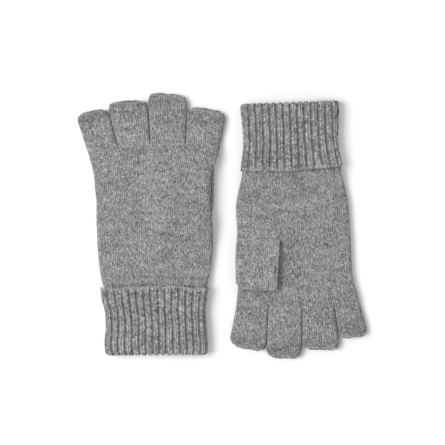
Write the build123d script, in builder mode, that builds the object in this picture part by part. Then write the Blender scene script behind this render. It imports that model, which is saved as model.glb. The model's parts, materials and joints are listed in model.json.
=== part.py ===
"""A pair of knitted fingerless gloves lying flat side by side, in millimetres.

+Z is up and the gloves rest on z = 0. The left-hand glove lies back up with its fingers towards +Y
and its thumb folded under the palm. The right-hand glove lies palm up with its fingers towards -Y
and its thumb folded over the palm. Each glove is drawn in its own frame, fingers towards +Y and the
little finger at -X, and is then placed by a turn about Z.
"""
from build123d import *
import os
from math import hypot

os.makedirs("parts", exist_ok=True)

# Knit and clearances
knit = 1.4           # wall of the plain knit
rib = 2.0            # wall of the ribbed knit
room = 4.3           # height kept open inside every tube
gap = 0.3            # air between pieces that move against each other
slack = 0.2          # air between the two layers of the turned-up cuff
roundness = 2.4      # radius of a flattened tube's sides

stall_high = room + 2 * knit
inner_cuff_high = room + 2 * rib
cuff_high = inner_cuff_high + 2 * (rib + slack)
cuff_middle = cuff_high / 2

# Hand
wrist_half = 44.0    # half the hand's width at the wrist
palm_half = 50.0     # half its width over the palm
wrist_rise = cuff_middle - stall_high / 2    # step from the table up to the cuff's middle
wrist_ramp = 14.0    # length of the slope that makes this step
reach = 100.0        # more than half the hand's width, for cuts that run right across

# Fingers
stall_trim = 0.8     # how much a stall is narrower than its stretch of the knuckle line
hem_long = 3.0       # length of a bound-off edge
bridge_wide = 3.0    # stitches that close the hand between two fingers
bridge_long = 3.0

# Thumb, in the glove's own frame
thumb_x = 32.5
thumb_y = 10.0       # where the thumb tube leaves the gusset
thumb_wide = 34.0
thumb_long = 44.0
gusset_y = -18.0     # where the gusset starts to rise out of the palm
swing_y = -2.0       # the thumb swings sideways about an upright line here
hole_wide = 26.0     # thumb hole in the palm
hole_start = -14.0
hole_end = 5.0

# Hump of the hand over a thumb that is folded under it, with room for the thumb to swing out
gusset_reach = hypot(thumb_wide / 2, swing_y - gusset_y)
thumb_reach = hypot(thumb_wide / 2, thumb_y + thumb_long - swing_y)
hump_high = stall_high + gap
hump_left, hump_right = thumb_x - gusset_reach - 2, 62.0
hump_start, hump_end = swing_y - gusset_reach - 2, swing_y + thumb_reach + 0.5
hump_slope = 20.0    # how far each side of the hump runs out
hump_toe = 9.5       # the shorter run-out towards the fingers

# Cuff
edge_long = 3.0      # cast-on edge at the free end of the turned-up cuff
fold_round = 2.0     # rounding of the cuff's fold

fingers = ["little", "ring", "middle", "index"]

left = {
    "name": "left",
    "place": Location((-56.4, 0, 0)),
    "knuckles": [(-58, 59), (-33.5, 66.5), (-6, 70), (24, 70), (53.5, 66.5)],
    "stall_long": [35, 37, 41, 31],
    "wrist": -54.0,
    "fold": -111.0,
    "cuff_wide": 90.0,
    "palm_up": False,
}
right = {
    "name": "right",
    "place": Location((61.1, 0, 0), (0, 0, 180)),
    "knuckles": [(-54, 61), (-33, 68), (-6, 70), (23, 70), (50, 66.5)],
    "stall_long": [30, 35, 41, 35],
    "wrist": -49.5,
    "fold": -104.0,
    "cuff_wide": 86.0,
    "palm_up": True,
}


def write(glove, piece, block):
    """Put a finished piece in its glove's place and write it under its own name."""
    name = f"{glove['name']}_{piece}"
    block.part = block.part.moved(glove["place"])
    block.part.label = name
    export_step(block.part, f"parts/{name}.step")


def hand_outline(glove, inset=0.0):
    """The hand seen from above. An inset one is narrower, and runs out past both open ends."""
    wrist_y = glove["wrist"] - inset
    wrist_x = wrist_half - inset
    palm_x = palm_half - inset
    (little_x, little_y), *between, (index_x, index_y) = glove["knuckles"]
    little_side = (little_x + inset, little_y + inset)
    index_side = (index_x - inset, index_y + inset)
    crotches = [(x, y + inset) for x, y in between]
    with BuildSketch() as outline:
        with BuildLine():
            Line((-wrist_x, wrist_y), (wrist_x, wrist_y))
            Spline((wrist_x, wrist_y), (palm_x - 1, -8), (palm_x, 30), index_side)
            Polyline(index_side, *reversed(crotches), little_side)
            Spline(little_side, (-palm_x - 1, 28), (-palm_x, -8), (-wrist_x, wrist_y))
        make_face()
    return outline.sketch


def wrist_slope(glove, z):
    """What lifts the hand from the table to the cuff's middle, with its foot at this height."""
    wrist = glove["wrist"] - gap
    with BuildPart() as slope:
        with BuildSketch(Plane.YZ.offset(-reach)):
            with BuildLine():
                Polyline((wrist, z), (wrist, z + wrist_rise), (wrist + wrist_ramp, z), close=True)
            make_face()
        extrude(amount=2 * reach)
    return slope.part


def thumb_hump(z):
    """The blunt hump that a thumb folded under the palm makes, with its foot at this height."""
    wide = hump_right - hump_left
    long = hump_end - hump_start
    middle_x = (hump_left + hump_right) / 2
    with BuildPart() as hump:
        with BuildSketch(Plane.XY.offset(z)):
            with Locations((middle_x, (hump_start - hump_slope + hump_end + hump_toe) / 2)):
                Rectangle(wide + 2 * hump_slope, long + hump_slope + hump_toe)
        with BuildSketch(Plane.XY.offset(z + hump_high)):
            with Locations((middle_x, (hump_start + hump_end) / 2)):
                Rectangle(wide, long)
        loft(ruled=True)
    return hump.part


def draped(glove, low, high, inset=0.0):
    """The space between two heights of the hand, following what the glove lies on."""
    outline = hand_outline(glove, inset)
    with BuildPart() as layer:
        with BuildSketch(Plane.XY.offset(low)):
            Rectangle(2 * reach, 3 * reach)
        extrude(amount=high - low)
        add(wrist_slope(glove, high))
        if not glove["palm_up"]:
            add(thumb_hump(high))
        add(wrist_slope(glove, low), mode=Mode.SUBTRACT)
        if not glove["palm_up"]:
            add(thumb_hump(low), mode=Mode.SUBTRACT)
        extrude(outline, amount=reach, mode=Mode.INTERSECT)
    return layer.part


def palm_height(glove, depth):
    """Height of a point this far out of the palm: above it when the palm is up, below it if not."""
    if glove["palm_up"]:
        return stall_high + depth
    return hump_high - depth


def make_hand(glove):
    """The plain-knit tube over the palm and the back, with the thumb hole in the palm."""
    outside = draped(glove, 0, stall_high)
    inside = draped(glove, knit, knit + room, inset=knit)
    hole_middle = (hole_start + hole_end) / 2
    with BuildPart() as hand:
        add(outside)
        add(inside, mode=Mode.SUBTRACT)
        with BuildSketch(Plane.XY.offset(palm_height(glove, 0))):
            with Locations((thumb_x, hole_middle)):
                RectangleRounded(hole_wide, hole_end - hole_start, 4)
        extrude(amount=1.5 * knit, both=True, mode=Mode.SUBTRACT)
    write(glove, "hand", hand)


def make_crotch_stitches(glove):
    """Bridges between back and palm, one at each place where two fingers meet."""
    with BuildPart() as bridges:
        for x, y in glove["knuckles"][1:-1]:
            with BuildSketch(Plane.XY.offset(knit)):
                with Locations((x, y - bridge_long / 2 - gap)):
                    RectangleRounded(bridge_wide, bridge_long, 1)
            extrude(amount=room)
    write(glove, "crotch_stitches", bridges)


def ring(plane, wide, high, wall):
    """The section of a flattened round-sided tube, square to the plane's normal."""
    with BuildSketch(plane) as section:
        RectangleRounded(wide, high, roundness)
        RectangleRounded(wide - 2 * wall, high - 2 * wall, roundness - wall / 2, mode=Mode.SUBTRACT)
    return section.sketch


def make_fingers(glove):
    """Four open stalls, each square to its own stretch of the knuckle line, and their hems."""
    knuckles = glove["knuckles"]
    for finger, start, end, long in zip(fingers, knuckles, knuckles[1:], glove["stall_long"]):
        across = hypot(end[0] - start[0], end[1] - start[1])
        along_x = (end[0] - start[0]) / across
        along_y = (end[1] - start[1]) / across
        root = Plane(
            origin=((start[0] + end[0]) / 2, (start[1] + end[1]) / 2, stall_high / 2),
            x_dir=(along_x, along_y, 0),
            z_dir=(-along_y, along_x, 0),
        )
        with BuildPart() as stall:
            section = ring(root.offset(gap), across - stall_trim, stall_high, knit)
            extrude(section, amount=long - hem_long - gap)
        write(glove, f"{finger}_stall", stall)

        with BuildPart() as hem:
            section = ring(root.offset(long - hem_long), across - stall_trim, stall_high, knit)
            extrude(section, amount=hem_long)
        write(glove, f"{finger}_hem", hem)


def make_thumb_gusset(glove):
    """The wedge that rises out of the palm round the thumb hole and ends in the thumb's mouth."""
    front = thumb_y - gap
    tall = gap + stall_high

    def wedge(inset):
        with BuildSketch(Plane.YZ.offset(thumb_x - thumb_wide / 2 + inset)) as side:
            with BuildLine():
                Polyline(
                    (gusset_y + inset, palm_height(glove, gap + inset)),
                    (front, palm_height(glove, gap + inset)),
                    (front, palm_height(glove, tall - inset)),
                    (gusset_y + inset, palm_height(glove, gap + knit + 0.1)),
                    close=True,
                )
            make_face()
        return side.sketch

    with BuildPart() as gusset:
        extrude(wedge(0), amount=thumb_wide)
        extrude(wedge(knit), amount=thumb_wide - 2 * knit, mode=Mode.SUBTRACT)
        with BuildSketch(Plane.XY.offset(palm_height(glove, gap + knit / 2))):
            with Locations((thumb_x, (hole_start + hole_end) / 2)):
                RectangleRounded(hole_wide, hole_end - hole_start, 4)
        extrude(amount=knit / 2 + 0.05, both=True, mode=Mode.SUBTRACT)
    write(glove, "thumb_gusset", gusset)


def make_thumb(glove):
    """The open thumb stall that lies along the palm, and its hem."""
    root = Plane(
        origin=(thumb_x, thumb_y, palm_height(glove, gap + stall_high / 2)),
        x_dir=(1, 0, 0),
        z_dir=(0, 1, 0),
    )
    with BuildPart() as stall:
        extrude(ring(root, thumb_wide, stall_high, knit), amount=thumb_long - hem_long)
    write(glove, "thumb_stall", stall)

    with BuildPart() as hem:
        section = ring(root.offset(thumb_long - hem_long), thumb_wide, stall_high, knit)
        extrude(section, amount=hem_long)
    write(glove, "thumb_hem", hem)


def make_cuff(glove):
    """The ribbed wrist tube, the turned-up layer with its fold, and its cast-on edge."""
    inner_wide = glove["cuff_wide"] - 2 * (rib + slack)
    fold = Plane(origin=(0, glove["fold"], cuff_middle), x_dir=(1, 0, 0), z_dir=(0, 1, 0))
    long = glove["wrist"] - gap - glove["fold"]

    with BuildPart() as inner_cuff:
        extrude(ring(fold.offset(rib), inner_wide, inner_cuff_high, rib), amount=long - rib)
    write(glove, "inner_cuff", inner_cuff)

    with BuildPart() as turned_cuff:
        extrude(ring(fold, glove["cuff_wide"], cuff_high, rib), amount=long - edge_long)
        extrude(ring(fold, glove["cuff_wide"], cuff_high, 2 * rib + slack), amount=rib)
        outer_rim = turned_cuff.faces().sort_by(Axis.Y)[0].outer_wire().edges()
        fillet(outer_rim, fold_round)
    write(glove, "turned_cuff", turned_cuff)

    with BuildPart() as cuff_edge:
        section = ring(fold.offset(long - edge_long), glove["cuff_wide"], cuff_high, rib)
        extrude(section, amount=edge_long)
    write(glove, "cuff_edge", cuff_edge)


for glove in (left, right):
    make_hand(glove)
    make_crotch_stitches(glove)
    make_fingers(glove)
    make_thumb_gusset(glove)
    make_thumb(glove)
    make_cuff(glove)
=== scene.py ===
"""A pair of grey marl knitted fingerless gloves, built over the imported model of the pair.

Each glove is worked out in millimetres in its own frame, fingers towards +Y and the little finger at
-X, and is then turned and moved to its place. Every knitted tube is a grid of points: rows run along
the glove, columns run round the tube, and each stitch is relief on that grid.
"""
import json
import math

import bpy
import numpy as np
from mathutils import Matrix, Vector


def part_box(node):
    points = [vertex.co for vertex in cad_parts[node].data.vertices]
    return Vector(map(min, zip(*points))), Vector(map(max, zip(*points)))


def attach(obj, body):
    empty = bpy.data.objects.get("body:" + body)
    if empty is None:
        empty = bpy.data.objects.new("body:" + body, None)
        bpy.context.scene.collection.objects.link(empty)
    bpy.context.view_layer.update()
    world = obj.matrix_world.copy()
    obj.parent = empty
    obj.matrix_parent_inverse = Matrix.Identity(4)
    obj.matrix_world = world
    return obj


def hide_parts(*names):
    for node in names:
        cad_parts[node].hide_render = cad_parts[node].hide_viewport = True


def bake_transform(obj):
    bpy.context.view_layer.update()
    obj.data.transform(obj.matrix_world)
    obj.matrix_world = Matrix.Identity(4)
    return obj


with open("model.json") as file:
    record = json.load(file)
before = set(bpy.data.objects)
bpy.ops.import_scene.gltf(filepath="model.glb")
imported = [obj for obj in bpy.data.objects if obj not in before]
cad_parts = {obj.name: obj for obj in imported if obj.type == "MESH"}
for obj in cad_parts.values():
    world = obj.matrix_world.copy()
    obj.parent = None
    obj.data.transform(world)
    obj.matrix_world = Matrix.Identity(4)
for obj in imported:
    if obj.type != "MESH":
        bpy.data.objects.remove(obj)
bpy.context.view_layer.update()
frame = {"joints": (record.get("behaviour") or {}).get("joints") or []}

MM = 0.001

# Gauge of the knitting
WALE = 1.75  # width of one column of stitches
COURSE = 1.35  # height of one row of stitches
WALL = 1.4  # thickness of the plain knit
RIB_WALL = 2.0  # and of the ribbed one
GAP = 0.3  # air between pieces that move against each other

# One leg of a plain stitch
STITCH_RELIEF = 0.5
LEG_REST = 0.75  # the part of its height that lies inside the bare tube
LEG_LEAN = 0.22  # how far it leans over a row, in stitch widths
LEG_PLACE = 0.29  # from the stitch's edge to its middle, in the same
LEG_HALF_LONG = 1.12
LEG_HALF_WIDE = 0.44

# One rib and its groove, across a width of 1
RIB_RELIEF = 1.25
RIB_EDGE = 0.07  # where the rib starts to rise
RIB_FLANK = 0.2  # width of its slope
RIB_COLUMNS = 0.14  # where the first of its two columns of stitches starts
RIB_COLUMN_WIDE = 0.36
PARTING_HALF = 0.055  # half the width of the crease between the two columns
PARTING_DEEP = 0.35
PURL_RELIEF = 0.12

# Yarn tone of a leg, from 0 to 1
MIDDLE_TONE = 0.47
PALEST = 0.53  # how far above the middle one it can be
DARKEST = 0.38  # and how far below

# Points of the meshes
TOP_SAMPLES = 6  # columns of points to a stitch on the upper face
UNDER_SAMPLES = 3  # and on the face that lies down
ROW_SAMPLES = 4  # rows of points to a row of stitches
ROW_STEP = COURSE / ROW_SAMPLES
SIDE_WALES = 3  # stitches round each side of a flattened tube
RIB_SAMPLES = 14  # columns of points to a rib
RIB_UNDER_SAMPLES = 8
INNER_RIB_SAMPLES = 8
INNER_RIB_UNDER_SAMPLES = 6
HEM_TURNS = 10  # points round a rolled rim
LOOP_TURNS = 8  # and round a loop of yarn
LOOP_STEPS = 9  # points along such a loop

# Scales of the wool's noise
FIBRE_SCALE = 1400
MOTTLE_SCALE = 210
FUZZ_SCALE = 3000

# Hand
HAND_START = -6.0  # it starts this far inside the cuff
KNUCKLES = 67.0  # mean place of the knuckle line
WRIST_RAMP = 17.0  # length of the slope between the table and the cuff
HAND_TUCK = 0.9  # how far each of its faces sinks inside the cuff
FLOOR_CLEARANCE = 0.03
SIDE_WANDER = 0.45  # how far its outline wanders
FACE_SWELL = 0.055  # how uneven its thickness is, as a share of it
PALM_DIP = 0.7  # how far the palm sinks under the gusset
CROTCH_DIP = 0.6  # and where two fingers meet
CROTCH_DIP_HALF = 1.6

# Cuff
FOLD_CORNER = 1.1  # how far the corners of the fold are drawn in
MOUTH_LONG = 9.0  # how deep the turned-up layer reaches into the mouth
FREE_ARCH = 2.4  # how far the middle of the free edge reaches past its ends
FREE_UNEVEN = 0.5
FREE_LIFT = 0.5  # how far the free edge stands off the hand
RIB_SWAY = 0.035  # how far the ribs wander, in ribs
RIB_BULGE = 0.35  # how far ribs reach past grooves at the cuff's ends
CAST_ON_RADIUS = 0.9

# Fingers
CROTCH_ROUND = 0.8  # radius of a finger's sides where two fingers meet
SLIT_ROUND = 0.72  # the same farther out, in half thicknesses
SLIT_LENGTH = 7.0  # length over which the sides get rounder
SLIT_GAP = 0.25  # half the air between two fingers
TIP_CORNER = 1.9  # how far the corners of its end are drawn in
TIP_CORNER_LONG = 4.5
TIP_NOTCH = 1.0  # how far the end falls back at its sides
TIP_LIP = 1.3  # how far its lower face reaches past the upper one
TIP_UNEVEN = 0.4
FINGER_SWELL = 0.06
FINGER_SAG = 0.2  # how much flatter it is towards its sides
# length over which painted shade darkens a finger towards its end
PAINTED_TIP_SHADE_LONG = 16.0
HEM_RADIUS = 0.98  # of the rolled rim on a finger or thumb
YARN_RADIUS = 0.62  # of the loops between two fingers
LOOP_HALF = 1.7  # half the length of such a loop
LOOP_BOW = 0.9  # how far its middle hangs back

# Floor, light and camera, in metres
PAPER_WHITE = 0.94
SKY = 0.66
LAMP_WIDE = 0.9
LAMP_POWER = 22
LAMP_PLACE = (-1.05, 0.05, 1.45)
SEEN_WIDE = 0.3783  # what the camera sees across, at the height below
SEEN_HIGH = 0.008
SEEN_MIDDLE = (-0.0008, 0.003)

FINGERS = ("little", "ring", "middle", "index")
FORWARD = np.array([0.0, 1.0, 0.0])


def height_of(node):
    """Height of a CAD node, in millimetres."""
    low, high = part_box(node)
    return high[2] / MM - low[2] / MM


HAND_HIGH = height_of("left_middle_stall")
HALF = HAND_HIGH / 2
CUFF_HALF = height_of("left_turned_cuff") / 2
ROOM = HAND_HIGH - 2 * WALL

# What differs between the two gloves, in each glove's own frame. Lists start at the little finger.
#   turned       palm up, with the fingers towards -Y
#   knuckles     ends of the lines at which the fingers fold
#   slit_ends    far ends of the slits and of the outer sides
#   wales        columns of stitches across each finger
#   tip_tilt     how far each finger's end is cut askew, in degrees
#   painted_tip_shade    how much painted shade darkens it towards its end
#   side_round   how round the hand's sides are, 1 for a half circle
#   wrist, fold  y of the hand's lower end and of the cuff's fold
#   free_edge    how far both ends of the cuff's free edge reach past the wrist
#   cuff_edges   x of both sides of the cuff, and y
#   cuff_turn    how far the cuff lies askew, in degrees
#   rib_lean     how far the first rib leans at the free edge, in ribs
LEFT = {
    "name": "left",
    "turned": False,
    "knuckles": [(-58, 59), (-33.5, 66.5), (-6, 70), (24, 70), (53.5, 66.5)],
    "slit_ends": [(-69.4, 93.5), (-42, 100.3), (-7.9, 104.5), (25.5, 100.3), (58.8, 93.5)],
    "stall_long": [35, 37, 41, 30.2],
    "wales": [13, 15, 16, 16],
    "tip_tilt": [-4, -4, -5, -3],
    "painted_tip_shade": [0.42, 0.32, 0.28, 0.16],
    "side_round": (1.0, 0.6),
    "little_edge": [
        (-44.8, -64), (-45.2, -54), (-47.3, -46), (-49, -37), (-50.8, -20), (-51.6, -3), (-52.5, 26),
        (-54, 43), (-58, 59),
    ],
    "index_edge": [
        (41.8, -64), (41.9, -54), (43.4, -46), (45.4, -37), (47.3, -20), (47.6, -3), (45.9, 13),
        (45.4, 30), (46.9, 46), (50.6, 56), (53.5, 66.5),
    ],
    "thumb_edge": [(47.3, -20), (47.2, -3), (46.8, 8), (47.6, 16), (48.2, 26), (48.4, 45), (48.6, 54)],
    "wrist": -54.0,
    "fold": -109.2,
    "free_edge": (0.5, 0.4),
    "ribs": 15,
    "cuff_edges": [
        (-43.8, 43, -109.2), (-44.6, 43, -102), (-43.5, 41.8, -83), (-44.3, 41.2, -73), (-47, 42.6, -62),
        (-48, 43.8, -54),
    ],
    "cuff_turn": 0.3,
    "rib_lean": 0.1,
    "seed": 3,
}
RIGHT = {
    "name": "right",
    "turned": True,
    "knuckles": [(-54, 61), (-33, 68), (-6, 70), (23, 70), (50, 66.5)],
    "slit_ends": [(-62.6, 91.8), (-37.5, 95.2), (-6.0, 102), (24.5, 103.7), (55.8, 97)],
    "stall_long": [30, 35, 41, 35],
    "wales": [12, 15, 16, 15],
    "tip_tilt": [-10, -6, -2, -4],
    "painted_tip_shade": [0.3, 0.2, 0.25, 0.22],
    "side_round": (0.75, 1.0),
    "little_edge": [
        (-38.4, -60), (-39.2, -49.5), (-43, -30.6), (-45.6, -13.6), (-47.3, 7.6), (-47.6, 20.4),
        (-49.8, 46), (-54, 61),
    ],
    "index_edge": [
        (44.6, -60), (45, -49.5), (47.9, -30.6), (50.2, -13.6), (49, 7.6), (48.6, 25), (48.2, 45),
        (48.8, 54.4), (50, 66.5),
    ],
    "thumb_edge": [(49.8, -20), (50.2, -13), (49.4, 7), (50.6, 20), (50.6, 46), (50.3, 54)],
    "wrist": -49.5,
    "fold": -105.0,
    "free_edge": (-1.3, 0.4),
    "ribs": 14,
    "cuff_edges": [
        (-38.4, 46, -105), (-37.5, 44.8, -90), (-36.4, 44.6, -69), (-37.9, 46.6, -56),
        (-39.4, 47.6, -49.5),
    ],
    "cuff_turn": 2.2,
    "rib_lean": 0.6,
    "seed": 8,
}

# Where each glove lies
for glove in (LEFT, RIGHT):
    fold_name = f"{glove['name']}_middle_fold"
    joint = next(joint for joint in frame["joints"] if joint["name"] == fold_name)
    side = -1 if glove["turned"] else 1
    root_middle = (glove["knuckles"][2][0] + glove["knuckles"][3][0]) / 2
    glove["side"] = side
    glove["x"] = joint["pos_m"][0] / MM - side * root_middle

# Thumb, in its glove's own frame
THUMB_START = 10.0
THUMB_END = 54.0
THUMB_INNER = 13.5  # x of its inner side
GUSSET_START = -20.0
THUMB_WALES = 20  # columns of stitches across the thumb
WALE_WIDE = 1.6  # width of one such column
FOOT_WALES = 8  # columns down the slope on the gusset's inner side
FOOT_WIDE = 26.0  # width of that slope where the gusset starts
FOOT_NARROWS = 15.0  # how much narrower it is at the thumb
FOOT_DEEP = 0.8  # how far it runs on into the palm
GUSSET_SUNK = 0.5  # how far the gusset's start lies in the palm
SEAM_DEEP = 1.1  # how far its lower face does
THUMB_LEAN = 1.8  # how far the thumb's inner side comes out towards its end
THUMB_CORNER = 1.8  # how far the end's outer corner is drawn in
THUMB_INNER_CORNER = 0.8
THUMB_DROOP = 3.8  # how far the edge of a thumb under its palm hangs down
THUMB_NOTCH = 1.6
THUMB_LIP = 0.8
THUMB_UNEVEN = 0.6
THUMB_SWELL = 0.3  # how uneven its faces are

# The hump of a hand over the thumb under it: where each slope starts, and its length
HUMP = HAND_HIGH + GAP
HUMP_SIDE = (-16, 23)
HUMP_CUFF_END = (-24, 31)
HUMP_FINGER_END = (72, 25)
HUMP_SHOULDER = (39.5, 10)
SHOULDER_DROP = 0.3  # share of its height that is lost at the shoulder


# ---- small helpers

def ease(t):
    """Smoothly from 0 at t = 0 to 1 at t = 1."""
    t = np.clip(t, 0.0, 1.0)
    return t * t * (3 - 2 * t)


def rising(value, start, length):
    """0 up to start, and 1 when it has come this length farther."""
    return ease((value - start) / length)


def falling(value, end, length):
    """1 up to this length before the end, and 0 from the end on."""
    return ease((end - value) / length)


def shares(count):
    """Even steps from 0 to just short of 1."""
    return np.arange(count) / count


def circle(turns):
    """Angles once round a circle."""
    return shares(turns) * 2 * math.pi


def scatter(i, j, seed):
    """A fixed number between 0 and 1 for each pair of whole numbers."""
    value = np.sin(i * 12.9898 + j * 78.233 + seed * 37.719) * 43758.5453
    return value - np.floor(value)


def swell(x, y, seed, wave):
    """Smooth unevenness of about -1 to 1, with humps about this far apart."""
    total = 0.0
    for k in range(5):
        heading = 2 * math.pi * scatter(k, 1, seed)
        pace = 2 * math.pi / wave * (0.6 + 0.9 * scatter(k, 2, seed))
        start = 2 * math.pi * scatter(k, 3, seed)
        total = total + np.sin((x * math.cos(heading) + y * math.sin(heading)) * pace + start)
    return total / 3.0


def through(points):
    """A smooth curve x(y) through points given from low y to high y."""
    xs, ys = np.array(points, float).T
    slopes = np.gradient(xs, ys)

    def curve(y):
        y = np.asarray(y, float)
        inside = np.clip(y, ys[0], ys[-1])
        i = np.clip(np.searchsorted(ys, inside) - 1, 0, len(ys) - 2)
        span = ys[i + 1] - ys[i]
        t = (inside - ys[i]) / span
        bend = (2 * t ** 3 - 3 * t ** 2) * (xs[i] - xs[i + 1])
        lean = (t ** 3 - 2 * t ** 2 + t) * span * slopes[i] + (t ** 3 - t ** 2) * span * slopes[i + 1]
        beyond = (y - inside) * np.where(y > inside, slopes[-1], slopes[0])
        return xs[i] + bend + lean + beyond

    return curve


def normals_of(points):
    """Outward normals of a grid whose columns close round the tube."""
    across = np.roll(points, -1, axis=1) - np.roll(points, 1, axis=1)
    along = np.gradient(points, axis=0)
    normal = np.cross(across, along)
    length = np.linalg.norm(normal, axis=2, keepdims=True)
    return normal / np.maximum(length, 1e-9)


# ---- stitches

def fleck(i, j, seed):
    """Yarn tone of one stitch leg: mostly middling, at times pale or dark."""
    value = 2 * scatter(i, j, seed) - 1
    return MIDDLE_TONE + np.where(value > 0, PALEST, DARKEST) * np.sign(value) * np.abs(value) ** 2


def plain_stitches(wale, course, seed):
    """Height and yarn tone, from 0 to 1, of plain knitting: two slanted legs to a stitch."""
    column = np.floor(wale)
    inside = wale - column
    right = inside > 0.5
    x = np.where(right, 1 - inside, inside) * WALE
    leg = 2 * column + right
    size = math.hypot(LEG_LEAN * WALE, COURSE)
    lean_x = -LEG_LEAN * WALE / size
    lean_y = COURSE / size
    height = np.zeros(np.broadcast(wale, course).shape)
    tone = np.full(height.shape, 0.5)
    for step in (-1, 0, 1):
        row = np.floor(course) + step
        push_x = 0.14 * (scatter(leg, row, seed) - 0.5)
        push_y = 0.24 * (scatter(leg, row, seed + 1) - 0.5)
        dx = x - LEG_PLACE * WALE + push_x
        dy = (course - row - 0.5) * COURSE + push_y
        along = dx * lean_x + dy * lean_y
        across = dx * lean_y - dy * lean_x
        fat = 0.88 + 0.24 * scatter(leg, row, seed + 2)
        leaf = 1 - (along / LEG_HALF_LONG) ** 2 - (across / (LEG_HALF_WIDE * fat)) ** 2
        leaf = np.sqrt(np.clip(leaf, 0, 1))
        nearer = leaf > height
        height = np.where(nearer, leaf, height)
        tone = np.where(nearer, fleck(leg, row, seed + 3), tone)
    return height, tone


def rib_stitches(rib, course, seed):
    """A two-by-two rib: its height in millimetres, yarn tone, raised part and painted light, low in its
    grooves.
    """
    column = np.floor(rib)
    inside = rib - column
    raised = rising(inside, RIB_EDGE, RIB_FLANK) * falling(inside, 1 - RIB_EDGE, RIB_FLANK)
    parting = np.exp(-((inside - 0.5) / PARTING_HALF) ** 2)
    wale = 2 * column + np.clip((inside - RIB_COLUMNS) / RIB_COLUMN_WIDE, 0, 1.999)
    leg, tone = plain_stitches(wale, course, seed)
    purl = 0.5 + 0.5 * np.cos(2 * math.pi * course)
    crown = RIB_RELIEF * (1 - PARTING_DEEP * parting) + 1.2 * STITCH_RELIEF * leg
    height = raised * crown + PURL_RELIEF * purl * (1 - raised)
    # painted shade: darker in the grooves and in the crease between the two columns of stitches
    painted_rib_light = raised * (0.45 + 0.55 * leg) * (1 - 0.6 * parting) + 0.22 * (1 - raised)
    return height, tone, raised, painted_rib_light


def knitted(points, height, settled):
    """A tube's points pushed out and in by the plain stitches on it, where they have settled."""
    return points + normals_of(points) * (STITCH_RELIEF * (height - LEG_REST) * settled)[..., None]


# ---- sections of flattened tubes

def ring_of(total, top_samples, under_samples, low_side, high_side):
    """Columns round a flattened tube: across the top, down its high side, back under it and up.

    across runs from 0 to 1, level is 1 on top and -1 underneath, and unit counts stitches or ribs.
    Each is one row, to meet a column of places along the tube.
    """
    top = shares(total * top_samples)
    high = shares(high_side * top_samples)
    under = shares(total * under_samples)
    low = shares(low_side * top_samples)
    across = np.concatenate([top, np.ones(len(high)), 1 - under, np.zeros(len(low))])
    level = np.concatenate([np.ones(len(top)), 1 - 2 * high, -np.ones(len(under)), 2 * low - 1])
    unit = np.concatenate([
        top * total,
        total + high * high_side,
        total + high_side + under * total,
        2 * total + high_side + low * low_side,
    ])
    return across[None], level[None], unit[None]


def corner_turn(near, level, radius, half):
    """How far round the corner of a tube a point is: 0 on the face to a quarter turn on the flank."""
    down = (1 - np.abs(level)) * half
    on_face = np.abs(level) > 0.999
    turn = np.where(on_face, 1 - near / radius, 1 + down / radius) * math.pi / 4
    return np.clip(turn, 0, math.pi / 2)


def rounded(across, level, wide, half, round_low, round_high):
    """How a tube's rounded sides move a point: its shift in x, and its height from mid-thickness."""
    shift = np.zeros(np.broadcast(across, wide).shape)
    height = np.broadcast_to(level * half, shift.shape).copy()
    for near, radius, sign in (((1 - across) * wide, round_high, 1), (across * wide, round_low, -1)):
        turn = corner_turn(near, level, radius, half)
        corner = (near < radius) & (turn > 0) & (turn < math.pi / 2)
        shift = np.where(corner, sign * (near - radius + radius * np.sin(turn)), shift)
        height = np.where(corner, np.sign(level) * (half - radius + radius * np.cos(turn)), height)
    return shift, height


# ---- the surface a glove lies on

def rest_height(glove, x, y):
    """Height of the hand's mid-thickness: down on the table, up at the cuff and over the thumb."""
    rise = (CUFF_HALF - HALF) * falling(y, glove["wrist"] + WRIST_RAMP, WRIST_RAMP)
    if glove["turned"]:
        return HALF + rise
    droop = 1 - SHOULDER_DROP * rising(x, *HUMP_SHOULDER)
    hump = HUMP * rising(x, *HUMP_SIDE) * rising(y, *HUMP_CUFF_END) * falling(y, *HUMP_FINGER_END) * droop
    return HALF + np.maximum(rise, hump)


# ---- meshes

def place(glove, points):
    """From the glove's own frame in millimetres to the pair's frame in metres."""
    side = glove["side"]
    moved = points * np.array([side, side, 1.0])
    moved[..., 0] += glove["x"]
    moved[..., 2] = np.maximum(moved[..., 2], FLOOR_CLEARANCE)
    return moved * MM


def grid_faces(rows, columns, count, flip):
    """Corners of the faces of a grid, and their places in the texture."""
    index = np.arange(rows * columns).reshape(rows, columns)
    beside = np.roll(index, -1, axis=1)
    above = np.roll(index, -1, axis=0)
    above_beside = np.roll(beside, -1, axis=0)
    corners = [index[:count], beside[:count], above_beside[:count], above[:count]]
    row, column = np.meshgrid(np.arange(count), np.arange(columns), indexing="ij")
    steps = [(0, 0), (0, 1), (1, 1), (1, 0)]
    if flip:
        corners = corners[::-1]
        steps = steps[::-1]
    quads = np.stack(corners, axis=-1).reshape(-1, 4)
    uv = np.stack([np.stack([(column + c) / columns, (row + r) / rows], axis=-1) for r, c in steps], axis=2)
    return quads, 0.004 + 0.992 * uv


def mesh_of(name, points, quads, smooth):
    mesh = bpy.data.meshes.new(name)
    mesh.vertices.add(points.size // 3)
    mesh.vertices.foreach_set("co", points.astype(np.float32).ravel())
    mesh.loops.add(quads.size)
    mesh.loops.foreach_set("vertex_index", quads.astype(np.int32).ravel())
    mesh.polygons.add(len(quads))
    mesh.polygons.foreach_set("loop_start", np.arange(0, quads.size, 4, dtype=np.int32))
    mesh.update(calc_edges=True)
    mesh.polygons.foreach_set("use_smooth", smooth.ravel())
    return mesh


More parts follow.
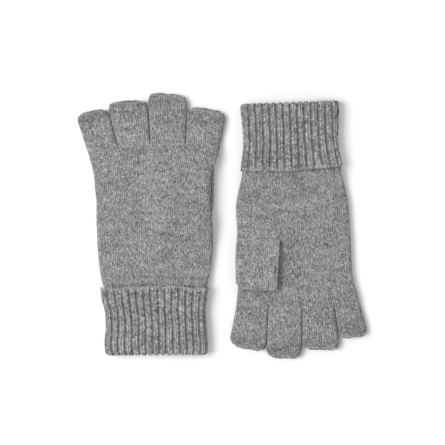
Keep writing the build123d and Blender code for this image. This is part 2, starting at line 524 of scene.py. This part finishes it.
def grid_piece(name, glove, points, marks, slot, flip=False, lining=None, closed=True):
    """A mesh from rows and columns of points, closed round the columns and, if closed, the rows.

    marks holds the yarn's tone and the painted light at each point, both from 0 to 1; where that
    is low, shade is painted into the colour. A lining is an even inner face, whose rows follow on from
    those of the knitted one.
    """
    face_rows, columns = points.shape[:2]
    marks = [np.broadcast_to(values, (face_rows, columns)) for values in marks]
    if lining is not None:
        marks = [np.concatenate([values, np.full(lining.shape[:2], 0.5)]) for values in marks]
        points = np.concatenate([points, lining])
    rows = len(points)
    count = rows if closed else rows - 1
    quads, uv = grid_faces(rows, columns, count, flip)
    smooth = np.ones((count, columns), bool)
    if lining is not None:
        smooth[[face_rows - 1, -1]] = False

    mesh = mesh_of(name, place(glove, points), quads, smooth)
    layer = mesh.uv_layers.new(name="OFBake")
    layer.data.foreach_set("uv", uv.astype(np.float32).ravel())
    for label, values in zip(("yarn_tone", "painted_light"), marks):
        layer = mesh.attributes.new(label, "FLOAT", "POINT")
        layer.data.foreach_set("value", values.astype(np.float32).ravel())
    mesh.validate()
    mesh.materials.append(WOOLS[slot])
    piece = stand(name, mesh)
    return piece


def stand(name, data, location=(0, 0, 0)):
    """A new object in the scene."""
    thing = bpy.data.objects.new(name, data)
    thing.location = location
    bpy.context.scene.collection.objects.link(thing)
    return thing


# ---- materials

def set_inputs(node, settings):
    for name, value in settings.items():
        node.inputs[name].default_value = value


def add_node(tree, kind, settings=None):
    """A new shader node of this kind, with these inputs set."""
    node = tree.nodes.new(f"ShaderNode{kind}")
    set_inputs(node, settings or {})
    return node


def mark(tree, attribute):
    node = add_node(tree, "Attribute")
    node.attribute_name = attribute
    return node.outputs["Fac"]


def noise(tree, scale, detail, stretch):
    where = add_node(tree, "TexCoord")
    turn = add_node(tree, "Mapping", {"Scale": stretch})
    texture = add_node(tree, "TexNoise", {"Scale": scale, "Detail": detail, "Roughness": 0.6})
    tree.links.new(where.outputs["Object"], turn.inputs["Vector"])
    tree.links.new(turn.outputs["Vector"], texture.inputs["Vector"])
    return texture.outputs["Fac"]


def spread(tree, value, low, high, to_low, to_high):
    mapping = add_node(tree, "MapRange", {
        "From Min": low, "From Max": high, "To Min": to_low, "To Max": to_high,
    })
    tree.links.new(value, mapping.inputs["Value"])
    return mapping.outputs["Result"]


def joined(tree, operation, a, b):
    node = add_node(tree, "Math")
    node.operation = operation
    tree.links.new(a, node.inputs[0])
    tree.links.new(b, node.inputs[1])
    return node.outputs["Value"]


def wool(name, light, dark, speck, painted_gap_shade):
    """Marl wool: each stitch has its own yarn tone, with pale and dark fibres, and dark gaps between.

    Yarn tones lie between light and dark. speck widens or narrows that range. The gaps get painted
    shade, and the last argument is the part of the colour that they keep where that shade is deepest.
    """
    material = bpy.data.materials.new(name)
    material.use_nodes = True
    tree = material.node_tree
    tree.nodes.clear()
    output = add_node(tree, "OutputMaterial")
    shader = add_node(tree, "BsdfPrincipled", {
        "Roughness": 0.95, "Specular IOR Level": 0.12, "Sheen Weight": 0.15, "Sheen Roughness": 0.6,
    })
    tree.links.new(shader.outputs["BSDF"], output.inputs["Surface"])

    middle = (light + dark) / 2
    reach = (light - dark) / 2
    tone = spread(tree, mark(tree, "yarn_tone"), 0, 1, middle - reach * speck, middle + reach * speck)
    fibres = noise(tree, FIBRE_SCALE, 2, (1, 0.6, 1))
    mottle = noise(tree, MOTTLE_SCALE, 4, (0.28, 1, 1))
    for part, share in ((fibres, 0.45), (mottle, 0.26)):
        tone = joined(tree, "ADD", tone, spread(tree, part, 0.3, 0.7, -share * reach, share * reach))
    # painted shade: colour darkened where the painted light mark is low, in gaps between stitches and ribs
    shade = spread(tree, mark(tree, "painted_light"), 0, 1, painted_gap_shade, 1)
    tree.links.new(joined(tree, "MULTIPLY", tone, shade), shader.inputs["Base Color"])

    bump = add_node(tree, "Bump", {"Strength": 0.4, "Distance": 0.0002})
    tree.links.new(noise(tree, FUZZ_SCALE, 3, (1, 0.35, 1)), bump.inputs["Height"])
    tree.links.new(bump.outputs["Normal"], shader.inputs["Normal"])
    return material


# The wool of each material slot. The last number is how much colour the gaps keep under their painted
# shade.
WOOLS = {
    "plain_wool": wool("plain_wool", 0.57, 0.09, 1.02, 0.23),
    "ribbed_wool": wool("ribbed_wool", 0.52, 0.09, 1.2, 0.47),
    "bound_edge": wool("edge_wool", 0.54, 0.14, 0.9, 0.5),
}


# ---- rolled rims

def away(outer, inner):
    """Unit directions from the inner face of a tube's end to its outer face."""
    outward = outer - inner
    return outward / np.linalg.norm(outward, axis=1, keepdims=True)


def hem_ring(glove, names, centre, outward, forward, radius, beads, seed):
    """The bound-off edge of a tube: a soft rolled rim with one bead to each stitch.

    names are those of the piece, the CAD node that it replaces and the body that it rides on.
    """
    name, node, body = names
    columns = len(centre)
    angle = circle(HEM_TURNS)[:, None, None]
    count = np.arange(columns)
    beat = 2 * math.pi * count * beads / columns
    bead = 0.5 + 0.5 * np.cos(beat + 0.8 * scatter(beads, 1, seed))
    fat = radius * (0.9 + 0.16 * bead)[None, :, None]
    slant = 0.22 * np.cos(beat + 1.2)[None, :, None] * forward
    ring = centre[None] + slant + fat * (outward[None] * np.cos(angle) + forward * np.sin(angle))
    tone = fleck(np.floor(count * beads / columns), 4, seed)[None, :]
    # painted shade: darker between the beads of the rim
    piece = grid_piece(name, glove, ring, (tone, bead[None, :]), "bound_edge")
    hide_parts(node)
    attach(piece, body)


# ---- the hand

def hand_points(glove, across, level, rows, inset):
    """The plain tube from inside the cuff to the knuckles, before its stitches."""
    breaks = wale_breaks(glove)
    knuckle_x, knuckle_y = zip(*glove["knuckles"])
    little_edge = through(glove["little_edge"])
    index_edge = through(glove["index_edge"])
    wrist = glove["wrist"]
    rows = rows[:, None]
    bow = rows ** 4
    end_x = np.interp(across, breaks, knuckle_x)
    end_y = np.interp(across, breaks, knuckle_y)
    y = HAND_START + wrist + rows * (KNUCKLES - wrist - HAND_START) + (end_y - KNUCKLES) * bow
    low = little_edge(y)
    high = index_edge(y)
    x = low + (high - low) * across
    end_low = little_edge(end_y)
    x = x + (end_x - end_low - (index_edge(end_y) - end_low) * across) * bow
    half = HALF - inset
    round_low, round_high = [half * part for part in glove["side_round"]]
    shift, height = rounded(across, level, high - low - 2 * inset, half, round_low, round_high)
    height = height * (1 - HAND_TUCK * falling(y, wrist + 5, 5) / HALF)
    x = x + inset * (1 - 2 * across) + shift
    if not inset:
        x, height = hand_unevenness(glove, across, level, rows, x, y, height)
    z = rest_height(glove, x, y) + height
    return np.stack([x, y, z], axis=-1)


def hand_unevenness(glove, across, level, rows, x, y, height):
    """Wandering sides, soft swells, and dips where the fingers part and where the gusset lies."""
    seed = glove["seed"]
    x = x + SIDE_WANDER * swell(y, 0 * y, seed + 5, 34) * (2 * across - 1) * (1 - rows ** 4)
    height = height * (1 + FACE_SWELL * swell(x, y, seed, 30) * (1 - rows ** 8))
    for crotch_x, _ in glove["knuckles"][1:-1]:
        near = np.clip(1 - np.abs(x - crotch_x) / CROTCH_DIP_HALF, 0, 1)
        height = height - np.sign(height) * CROTCH_DIP * near * rising(rows, 0.955, 0.045)
    on_palm = level == -glove["side"]
    beside_foot = rising(x, THUMB_INNER - 7, 3)
    under_gusset = beside_foot * rising(y, GUSSET_START + 2, 2) * falling(y, THUMB_START, 3)
    return x, height + glove["side"] * PALM_DIP * on_palm * under_gusset


def wale_breaks(glove):
    """Where each finger's columns of stitches start and end, across the hand."""
    return np.cumsum([0] + glove["wales"]) / sum(glove["wales"])


def hand_courses(glove):
    """How many rows of stitches the hand has."""
    return round((KNUCKLES - glove["wrist"] - HAND_START) / COURSE)


def make_hand(glove):
    across, level, unit = ring_of(sum(glove["wales"]), TOP_SAMPLES, UNDER_SAMPLES, SIDE_WALES, SIDE_WALES)
    courses = hand_courses(glove)
    outer_rows = np.arange(courses * ROW_SAMPLES + 1) / (courses * ROW_SAMPLES)
    outer = hand_points(glove, across, level, outer_rows, 0.0)
    height, tone = plain_stitches(unit, outer_rows[:, None] * courses, glove["seed"])
    settled = ease((1 - outer_rows[:, None]) * courses)
    knit = knitted(outer, height, settled)
    lining = hand_points(glove, across, level, np.linspace(1, 0, 70), WALL)
    name = f"{glove['name']}_hand"
    # painted shade: the gaps between stitch legs get darker colour
    piece = grid_piece(f"{name}_knit", glove, knit, (tone, height), "plain_wool", lining=lining)
    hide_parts(name)
    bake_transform(piece)


# ---- fingers

def finger_frame(glove, number):
    """Middle and directions of a finger's root line, with its width and length."""
    low = np.array(glove["knuckles"][number], float)
    high = np.array(glove["knuckles"][number + 1], float)
    wide = np.linalg.norm(high - low)
    across = (high - low) / wide
    along = np.array([-across[1], across[0]])
    return (low + high) / 2, across, along, wide, glove["stall_long"][number]


def finger_edges(glove, number, ahead):
    """Where a finger's two sides are at each distance along it, measured from its middle line."""
    root, side, forward, wide, _ = finger_frame(glove, number)
    edges = []
    for end, start in ((glove["slit_ends"][number], -wide / 2), (glove["slit_ends"][number + 1], wide / 2)):
        reach = np.array(end, float) - root
        edges.append(start + (reach @ side - start) * ahead / (reach @ forward))
    return edges


def finger_points(glove, number, across, level, reach, inset):
    """One finger tube, before its stitches. reach runs from 0 at the root to 1 at the end."""
    root, side, forward, _, long = finger_frame(glove, number)
    ahead = reach[:, None] * long
    low, high = finger_edges(glove, number, ahead)
    corner = SLIT_GAP + TIP_CORNER * np.clip((ahead - long) / TIP_CORNER_LONG + 1, 0, 1) ** 1.4
    low = low + corner * (1 if number > 0 else 0.6)
    high = high - corner * (1 if number < 3 else 1.2)
    wide = high - low - 2 * inset
    opened = ease(ahead / SLIT_LENGTH)
    shift, height = finger_section(number, across, level, wide, HALF - inset, opened)
    from_middle = low + inset + across * wide + shift
    end = finger_end(glove, number, across, level, wide, from_middle)
    ahead = ahead + end * (ahead / long) ** 3
    x = root[0] + side[0] * from_middle + forward[0] * ahead
    y = root[1] + side[1] * from_middle + forward[1] * ahead
    if not inset:
        seed = glove["seed"] + 11 * number
        height = height * (1 + FINGER_SWELL * swell(x, y, seed, 22) * opened)
        near_end = rising(ahead / long, 0.85, 0.15) * (level > -1)
        height = height + TIP_UNEVEN * near_end * swell(x, y, seed + 2, 17)
    z = rest_height(glove, x, y) + height
    return np.stack([x, y, z], axis=-1)


def finger_section(number, across, level, wide, half, opened):
    """A finger's sides: sharp at its root beside another finger, rounder from there, and full outside."""
    slit_round = CROTCH_ROUND + (SLIT_ROUND * half - CROTCH_ROUND) * opened
    outer_round = np.full(opened.shape, half)
    round_low = outer_round if number == 0 else slit_round
    round_high = outer_round if number == 3 else slit_round
    shift, height = rounded(across, level, wide, half, round_low, round_high)
    return shift, height * (1 - FINGER_SAG * opened * (1 - np.sin(math.pi * across) ** 0.7))


def finger_end(glove, number, across, level, wide, from_middle):
    """How far a finger's end reaches out: askew, notched at its sides and not quite even."""
    seed = glove["seed"] + 11 * number
    tilt = math.tan(math.radians(glove["tip_tilt"][number]))
    edge_near = np.minimum(across, 1 - across) * wide
    notch = TIP_NOTCH * (1 - ease(edge_near / 3))
    lip = TIP_LIP * (level < 0) * ease(edge_near / 5)
    return tilt * from_middle - notch + lip + TIP_UNEVEN * swell(from_middle, level * 5, seed, 13)


def tucked_root(knit, forward):
    """The knitting with one more row before it, drawn in and back under the hand's last row."""
    middle = knit[0].mean(axis=0)
    tucked = middle + (knit[0] - middle) * np.array([0.99, 1.0, 0.82]) - forward
    return np.concatenate([tucked[None], knit])


def make_finger(glove, number):
    name = f"{glove['name']}_{FINGERS[number]}"
    wales = glove["wales"][number]
    across, level, unit = ring_of(wales, TOP_SAMPLES, UNDER_SAMPLES, SIDE_WALES, SIDE_WALES)
    root, _, along, _, long = finger_frame(glove, number)
    forward = np.array([*along, 0.0])
    courses = round(long / COURSE)
    reach = np.arange(courses * ROW_SAMPLES + 1) / (courses * ROW_SAMPLES)
    outer = finger_points(glove, number, across, level, reach, 0.0)
    inner = finger_points(glove, number, across, level, np.linspace(1, 0, 16), WALL)

    seed = glove["seed"] + 20 + number
    reach = reach[:, None]
    height, tone = plain_stitches(unit, reach * courses, seed)
    settled = ease(reach * courses) * (1 - 0.6 * rising(reach, 0.97, 0.03))
    knit = tucked_root(knitted(outer, height, settled), forward)
    # painted shade: darker in the stitch gaps, and darker still towards the finger's end
    tip = rising(reach * long, long - PAINTED_TIP_SHADE_LONG, PAINTED_TIP_SHADE_LONG - 2)
    painted_light = height * (1 - glove["painted_tip_shade"][number] * tip)
    marks = [np.concatenate([values[:1], values]) for values in (tone, painted_light)]
    piece = grid_piece(f"{name}_knit", glove, knit, marks, "plain_wool", lining=inner)
    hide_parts(f"{name}_stall")
    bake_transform(piece)
    centre = (outer[-1] + inner[0]) / 2 - 0.25 * forward
    names = (f"{name}_rim", f"{name}_hem", name)
    hem_ring(glove, names, centre, away(outer[-1], inner[0]), forward, HEM_RADIUS, 2 * wales + 4, seed)


# ---- thumb

def thumb_half(glove, y):
    """Half the thumb's thickness: flatter at its root on top of a palm, and at its tip below one."""
    if glove["turned"]:
        return HALF * (1 - 0.55 * (1 - rising(y, THUMB_START - 2, 26)))
    return HALF * (1 - 0.26 * rising(y, THUMB_END - 8, 12))


def gusset_points(root_half, side_x, inner_x, across, level, y):
    """The gusset as a swelling of the palm: its x, and its distance out of the palm."""
    grown = rising(y, GUSSET_START, THUMB_START - GUSSET_START)
    sunk = GUSSET_SUNK * (1 - rising(y, GUSSET_START, 2.5))
    top = (2 * root_half + GAP) * grown - sunk
    foot = FOOT_WIDE - FOOT_NARROWS * grown
    side_x = side_x - sunk
    wide = side_x - inner_x
    face = level > 0.999
    below = level < -0.999
    low_side = (across < 1e-6) & ~face & ~below
    high_side = (across > 1 - 1e-6) & ~face & ~below

    # the upper face and the slope on its inner side
    down_slope = np.clip((1 - level) / 1.7, 0, 1)
    x = np.where(low_side, inner_x - (foot / 2 + 1) * down_slope, inner_x + across * wide)
    risen = ease((x - inner_x) / foot + 0.5)
    run_in = FOOT_DEEP * low_side * falling(level, -0.7, 0.3)
    out = top * risen - (FOOT_DEEP + sunk) * (1 - risen) - run_in

    # its outer side, as round as the hand's
    turn = corner_turn((1 - across) * wide, np.where(high_side, (1 + level) / 2, level), HALF, HALF)
    outer = face & ((1 - across) * wide < HALF) | high_side
    x = np.where(outer, side_x - HALF + HALF * np.sin(turn), x)
    out = np.where(outer, top - (top + HALF) * (1 - np.cos(turn)), out)

    # the part that is sewn into the palm
    x = np.where(below, inner_x + across * (wide - 0.6), x)
    out = np.where(below, -SEAM_DEEP - (HALF - SEAM_DEEP) * rising(across, 0.9, 0.1), out)
    return x, out


def palm_stitches(glove, x, y):
    """Which wale and course of the hand lie at a place, to match the gusset's to them."""
    low = through(glove["little_edge"])(y)
    across = (x - low) / (through(glove["index_edge"])(y) - low)
    end_y = np.interp(across, wale_breaks(glove), [y for _, y in glove["knuckles"]])
    start = HAND_START + glove["wrist"]
    rows = (y - start) / (KNUCKLES - start)
    for _ in range(3):
        rows = (y - start - (end_y - KNUCKLES) * rows ** 4) / (KNUCKLES - start)
    return across * sum(glove["wales"]), rows * hand_courses(glove)


def gusset_stitches(glove, base):
    """Wales and courses of the gusset: those of the palm where they meet, at an even pace from there."""
    wale, course = palm_stitches(glove, base[..., 0], base[..., 1])
    strides = np.linalg.norm((np.roll(base, -1, axis=1) - base)[..., [0, 2]], axis=2)
    after = np.cumsum(strides, axis=1) - strides
    before = after - after[:, -1:] - strides[:, -1:]
    foot = len(base[0]) - FOOT_WALES * TOP_SAMPLES
    travelled = np.where(np.arange(len(base[0])) < foot, after, before)
    return wale[:, :1] + travelled / WALE_WIDE, course


def thumb_points(glove, across, level, y, inset):
    """The thumb tube and the gusset that it grows from: x, y and the distance out of the palm."""
    y = y[:, None]
    side_x = through(glove["thumb_edge"])(y)
    inner_x = THUMB_INNER + THUMB_LEAN * rising(y, THUMB_START, THUMB_END - THUMB_START)
    side_x = side_x - THUMB_CORNER * rising(y, THUMB_END - 5, 5) ** 2
    inner_x = inner_x + THUMB_INNER_CORNER * rising(y, THUMB_END - 3, 3) ** 2
    full_half = thumb_half(glove, y)
    half = full_half - inset
    sag = 0 if glove["turned"] else 0.15
    lens = 1 - sag * (1 - np.sin(math.pi * across) ** 0.7)
    wide = side_x - inner_x
    round_low = 0.17 * half if glove["turned"] else half
    shift, height = rounded(across, level, wide - 2 * inset, half, round_low, half)
    tube_x = inner_x + inset + across * (wide - 2 * inset) + shift
    tube_out = GAP + full_half + height * lens
    if not glove["turned"]:
        tube_out = tube_out - THUMB_DROOP * rising(tube_x, 42, 6)
    root_half = thumb_half(glove, THUMB_START)
    x, out = gusset_points(root_half, side_x, inner_x, across, level, y)
    merged = rising(y, THUMB_START - 1, 6)
    x = x + (tube_x - x) * merged
    out = out + (tube_out - out) * merged
    return x, np.broadcast_to(y, x.shape), out


def thumb_surface(glove, across, level, rows, inset):
    """Points of the gusset and the thumb tube, with the thumb's uneven end, before their stitches."""
    x, y, out = thumb_points(glove, across, level, rows, inset)
    seed = glove["seed"] + 40
    facing = -glove["side"]
    wide = THUMB_WALES * WALE
    near = np.minimum(across, 1 - across) * wide
    lip = THUMB_LIP * (level < 0) * ease(near / 5)
    notch = THUMB_NOTCH * (1 - ease((1 - across) * wide / 4.5))
    end = lip - notch - 0.5 * (1 - ease(near / 2)) + THUMB_UNEVEN * swell(x, 0 * x, seed, 17) - 0.4
    y = y + end * rising(y, THUMB_END - 12, 12)
    out = out + THUMB_SWELL * swell(x, y, seed + 1, 19) * (level > -0.999) * rising(y, THUMB_START - 2, 8)
    palm = rest_height(glove, x, y) + facing * HALF
    return np.stack([x, y, palm + facing * out], axis=-1)


def with_ends(rows):
    """The rows with one more at each end, which only give the slope there."""
    return np.concatenate([[rows[0] - ROW_STEP], rows, [rows[-1] + ROW_STEP]])


def thumb_stitches(glove, base, wale, course):
    """The knitting on all but the first and last row, and its yarn tone and painted light, low in the
    stitch gaps.
    """
    height, tone = plain_stitches(wale, course, glove["seed"])
    normals = -glove["side"] * normals_of(base)[1:-1]
    return base[1:-1] + normals * (STITCH_RELIEF * (height - LEG_REST))[..., None], (tone, height)


def thumb_root_body(glove):
    """The body at the thumb's root: the thumb itself, unless the thumb can lift."""
    return f"{glove['name']}_thumb_root" if glove["turned"] else f"{glove['name']}_thumb"


def make_gusset(glove, across, level, rows):
    """Makes the gusset, and returns the wale and course at each point of its last row."""
    name = glove["name"]
    base = thumb_surface(glove, across, level, with_ends(rows), 0.0)
    wale, course = gusset_stitches(glove, base[1:-1])
    points, marks = thumb_stitches(glove, base, wale, course)
    gusset = grid_piece(
        f"{name}_thumb_gusset_knit", glove, points, marks, "plain_wool",
        flip=not glove["turned"], closed=False,
    )
    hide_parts(f"{name}_thumb_gusset")
    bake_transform(gusset)
    return wale[-1:], course[-1:]


def make_thumb_tube(glove, across, level, rows, wale, course):
    """The thumb tube, whose stitches carry on those at the gusset's end, and its bound-off edge."""
    name = glove["name"]
    base = thumb_surface(glove, across, level, with_ends(rows), 0.0)
    courses_on = (rows - rows[0])[:, None] / COURSE
    points, marks = thumb_stitches(glove, base, wale, course + courses_on)
    first, last = base[1], base[-2]
    inner = thumb_surface(glove, across, level, np.linspace(THUMB_END, 17, 14), WALL)
    core = first.mean(axis=0)
    start_ring = core + 0.4 * (first - core) + FORWARD
    stall = grid_piece(
        f"{name}_thumb_knit", glove, points, marks, "plain_wool",
        flip=not glove["turned"], lining=np.concatenate([inner, start_ring[None]]),
    )
    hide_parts(f"{name}_thumb_stall")
    if glove["turned"]:
        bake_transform(stall)
    else:
        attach(stall, thumb_root_body(glove))
    centre = (last + inner[0]) / 2 - 0.3 * FORWARD
    names = (f"{name}_thumb_rim", f"{name}_thumb_hem", f"{name}_thumb")
    ahead = -glove["side"] * FORWARD
    seed = glove["seed"] + 40
    hem_ring(glove, names, centre, away(last, inner[0]), ahead, HEM_RADIUS, 2 * THUMB_WALES + 4, seed)


def make_thumb(glove):
    across, level, _ = ring_of(THUMB_WALES, TOP_SAMPLES, UNDER_SAMPLES, FOOT_WALES, 2 * SIDE_WALES)
    gusset_rows = np.arange(GUSSET_START, THUMB_START + ROW_STEP / 2, ROW_STEP)
    tube_rows = np.arange(gusset_rows[-1], THUMB_END, ROW_STEP)
    wale, course = make_gusset(glove, across, level, gusset_rows)
    make_thumb_tube(glove, across, level, tube_rows, wale, course)


# ---- cuff

def cuff_section(glove, across, level, y, half, inset, radius):
    """Rings of the cuff, one for each y, half height, distance drawn in and rounding."""
    y, half, inset, radius = [np.reshape(values, (-1, 1)) for values in (y, half, inset, radius)]
    edges = np.array(glove["cuff_edges"])
    corner = FOLD_CORNER * (1 - rising(y, glove["fold"], 4)) ** 2
    low = through(edges[:, [0, 2]])(y) + inset + corner
    high = through(edges[:, [1, 2]])(y) - inset - corner
    wide = high - low
    shift, height = rounded(across, level, wide, half, radius, radius)
    x = low + across * wide + shift
    return np.stack([x, np.broadcast_to(y, x.shape), CUFF_HALF + height], axis=-1)


def turn_cuff(glove, points):
    """The cuff lies a little askew on its hand."""
    angle = math.radians(glove["cuff_turn"])
    centre = np.array([0.0, (glove["wrist"] + glove["fold"]) / 2, 0.0])
    cos, sin = math.cos(angle), math.sin(angle)
    turn = np.array([[cos, sin, 0], [-sin, cos, 0], [0, 0, 1]])
    return (points - centre) @ turn + centre


def free_end(glove):
    """Where the turned-up layer ends, beside the wrist."""
    return glove["wrist"] - GAP


def turned_cuff_rows(glove):
    """Rows out of the mouth, round the fold and along the outside to the free edge.

    Each row has its y, its half height, how far it is drawn in, and 1 outside to -1 inside.
    """
    fold = glove["fold"]
    bend = (CUFF_HALF - ROOM / 2) / 2
    mouth_y = np.arange(fold + MOUTH_LONG, fold + bend, -2 * ROW_STEP)
    theta = np.linspace(-math.pi / 2, math.pi / 2, 16)[1:-1]
    outside_y = np.arange(fold + bend, free_end(glove) + ROW_STEP / 2, ROW_STEP)
    y = np.concatenate([mouth_y, fold + bend - bend * np.cos(theta), outside_y])
    outside = np.concatenate([-np.ones(len(mouth_y)), np.sin(theta), np.ones(len(outside_y))])
    half = (CUFF_HALF + ROOM / 2) / 2 + bend * outside
    return y, half, bend - bend * outside, outside


def turned_cuff_knitting(glove, across, level, unit):
    """The ribbed outside of the turned-up cuff, and its yarn tone and painted light, which paints shade
    into the grooves.
    """
    fold = glove["fold"]
    free = free_end(glove)
    seed = glove["seed"] + 60
    y, half, inset, outside = turned_cuff_rows(glove)
    radius = np.clip(2.9 + 1.6 * outside, 0.5, half - 0.05)
    travelled = np.concatenate([[0], np.cumsum(np.hypot(np.diff(y), np.diff(half)))])
    along = np.clip((y - fold) / (free - fold), 0, 1)[:, None]
    base = cuff_section(glove, across, level, y, half, inset, radius)
    x, y = base[..., 0].copy(), base[..., 1].copy()

    sway = RIB_SWAY * swell(y, 9 * unit + 0 * y, seed, 30)
    sway = sway + glove["rib_lean"] * (1 - across) ** 3 * rising(along, 0.15, 0.85)
    height, tone, raised, painted_light = rib_stitches(unit + sway, travelled[:, None] / COURSE, seed)

    lifted = 0.3 * swell(x, y, seed, 30) * along + FREE_LIFT * rising(along, 0.88, 0.12)
    base[..., 2] += lifted * np.sign(level)
    arch = FREE_ARCH * (1 - (2 * across - 1) ** 2) + np.interp(across, (0, 1), glove["free_edge"])
    bulge = RIB_BULGE * raised
    ends = arch + FREE_UNEVEN * swell(x, 0 * x, seed + 1, 30) + bulge
    base[..., 1] += ends * along ** 3 - bulge * (1 - along) ** 12

    # near the free edge the painted shade of the ribs gives way to an even, nearly full painted light
    closing = rising(y, free - 3.2, 3.0)
    painted_light = painted_light + (0.85 - painted_light) * 0.8 * closing
    relief = (height - RIB_RELIEF - 0.6 * STITCH_RELIEF) * (0.45 + 0.55 * ease(outside + 1))[:, None]
    relief = relief * (1 - 0.75 * closing)
    return base + normals_of(base) * relief[..., None], (tone, painted_light)


def make_turned_cuff(glove):
    name = glove["name"]
    ribs = glove["ribs"]
    across, level, unit = ring_of(ribs, RIB_SAMPLES, RIB_UNDER_SAMPLES, 1, 1)
    knit, marks = turned_cuff_knitting(glove, across, level, unit)
    under_y = np.linspace(free_end(glove), glove["fold"] + MOUTH_LONG, 8)
    under = cuff_section(glove, across, level, under_y, CUFF_HALF - RIB_WALL, RIB_WALL, 3.0)
    knit = turn_cuff(glove, knit)
    under = turn_cuff(glove, under)
    piece = grid_piece(f"{name}_turned_cuff_knit", glove, knit, marks, "ribbed_wool", lining=under)
    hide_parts(f"{name}_turned_cuff")
    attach(piece, f"{name}_cuff")

    # the cast-on edge along the free end
    outward = away(knit[-1], under[0])
    centre = knit[-1] - 0.7 * outward + 0.1 * FORWARD
    names = (f"{name}_cast_on_edge", f"{name}_cuff_edge", f"{name}_cuff")
    hem_ring(glove, names, centre, outward, FORWARD, CAST_ON_RADIUS, 4 * ribs + 4, glove["seed"] + 60)


def make_inner_cuff(glove):
    """The wrist tube inside the turned-up cuff."""
    name = glove["name"]
    across, level, unit = ring_of(glove["ribs"], INNER_RIB_SAMPLES, INNER_RIB_UNDER_SAMPLES, 1, 1)
    rows = np.arange(glove["fold"] + 6, free_end(glove), 1.2)
    half = CUFF_HALF - RIB_WALL - 0.25
    outside = cuff_section(glove, across, level, rows, half, RIB_WALL + 0.3, 1.6)
    inside = cuff_section(glove, across, level, rows[::-1], ROOM / 2 + 0.2, 2 * RIB_WALL, 1.6)
    ridge = 0.35 * np.cos(2 * math.pi * unit)
    inside = inside + normals_of(inside) * ridge[..., None]
    tone = fleck(np.floor(unit * 2), 5, glove["seed"])
    # painted shade: darker in the grooves between the ridges
    painted_light = 0.6 + 0.4 * ridge
    points = turn_cuff(glove, np.concatenate([outside, inside]))
    piece = grid_piece(f"{name}_inner_cuff_knit", glove, points, (tone, painted_light), "ribbed_wool")
    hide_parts(f"{name}_inner_cuff")
    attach(piece, f"{name}_cuff")


# ---- crotch stitches

def make_crotch_stitches(glove):
    """Short loops of yarn that close the hand between neighbouring fingers."""
    name = glove["name"]
    bow = np.linspace(-1, 1, LOOP_STEPS)
    angle = circle(LOOP_TURNS)
    round_yarn = np.stack([0 * angle, np.cos(angle), np.sin(angle)], axis=-1)[None]
    fat = YARN_RADIUS * np.sqrt(np.clip(1 - (bow * 0.97) ** 6, 0.02, 1))[:, None, None]
    loops = []
    for number, (x, y) in enumerate(glove["knuckles"][1:-1]):
        for level in np.linspace(-0.62, 0.62, 4):
            height = HALF + level * HALF + 0.35 * bow
            line = np.stack([x + LOOP_HALF * bow, y - LOOP_BOW + LOOP_BOW * bow ** 2, height], axis=-1)
            tube = line[:, None] + fat * round_yarn
            marks = (fleck(number, level * 10, 2), 0.8)
            loop_name = f"{name}_crotch_{len(loops)}"
            loops.append(grid_piece(loop_name, glove, tube, marks, "bound_edge", closed=False))
    with bpy.context.temp_override(active_object=loops[0], selected_editable_objects=loops):
        bpy.ops.object.join()
    piece = loops[0]
    piece.name = f"{name}_crotch_knit"
    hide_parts(f"{name}_crotch_stitches")
    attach(piece, f"{name}_hand")


# ---- stage, light and camera

def make_floor():
    bpy.ops.mesh.primitive_plane_add(size=8, location=(0, 0, -0.0001))
    floor = bpy.context.active_object
    floor.name = "floor"
    paper = bpy.data.materials.new("paper")
    paper.use_nodes = True
    set_inputs(paper.node_tree.nodes["Principled BSDF"], {
        "Base Color": (PAPER_WHITE, PAPER_WHITE, PAPER_WHITE, 1),
        "Roughness": 1.0,
        "Specular IOR Level": 0.0,
    })
    floor.data.materials.append(paper)


def make_light():
    """An even white sky, and a large soft lamp at the upper left."""
    world = bpy.data.worlds.new("studio")
    world.use_nodes = True
    set_inputs(world.node_tree.nodes["Background"], {"Color": (1, 1, 1, 1), "Strength": SKY})
    bpy.context.scene.world = world

    lamp = bpy.data.lights.new("soft_box", "AREA")
    lamp.shape = "SQUARE"
    lamp.size = LAMP_WIDE
    lamp.energy = LAMP_POWER
    holder = stand("soft_box", lamp, LAMP_PLACE)
    holder.rotation_euler = (-holder.location).to_track_quat("-Z", "Y").to_euler()


def make_camera():
    """Straight above the pair, with a long lens."""
    camera = bpy.data.cameras.new("camera")
    camera.lens = 150
    camera.sensor_width = 36
    height = SEEN_HIGH + SEEN_WIDE * camera.lens / camera.sensor_width
    bpy.context.scene.camera = stand("camera", camera, (*SEEN_MIDDLE, height))


make_camera()
make_floor()
make_light()
bpy.context.scene.view_settings.view_transform = "Standard"
for glove in (LEFT, RIGHT):
    make_hand(glove)
    for number in range(4):
        make_finger(glove, number)
    make_thumb(glove)
    make_turned_cuff(glove)
    make_inner_cuff(glove)
    make_crotch_stitches(glove)
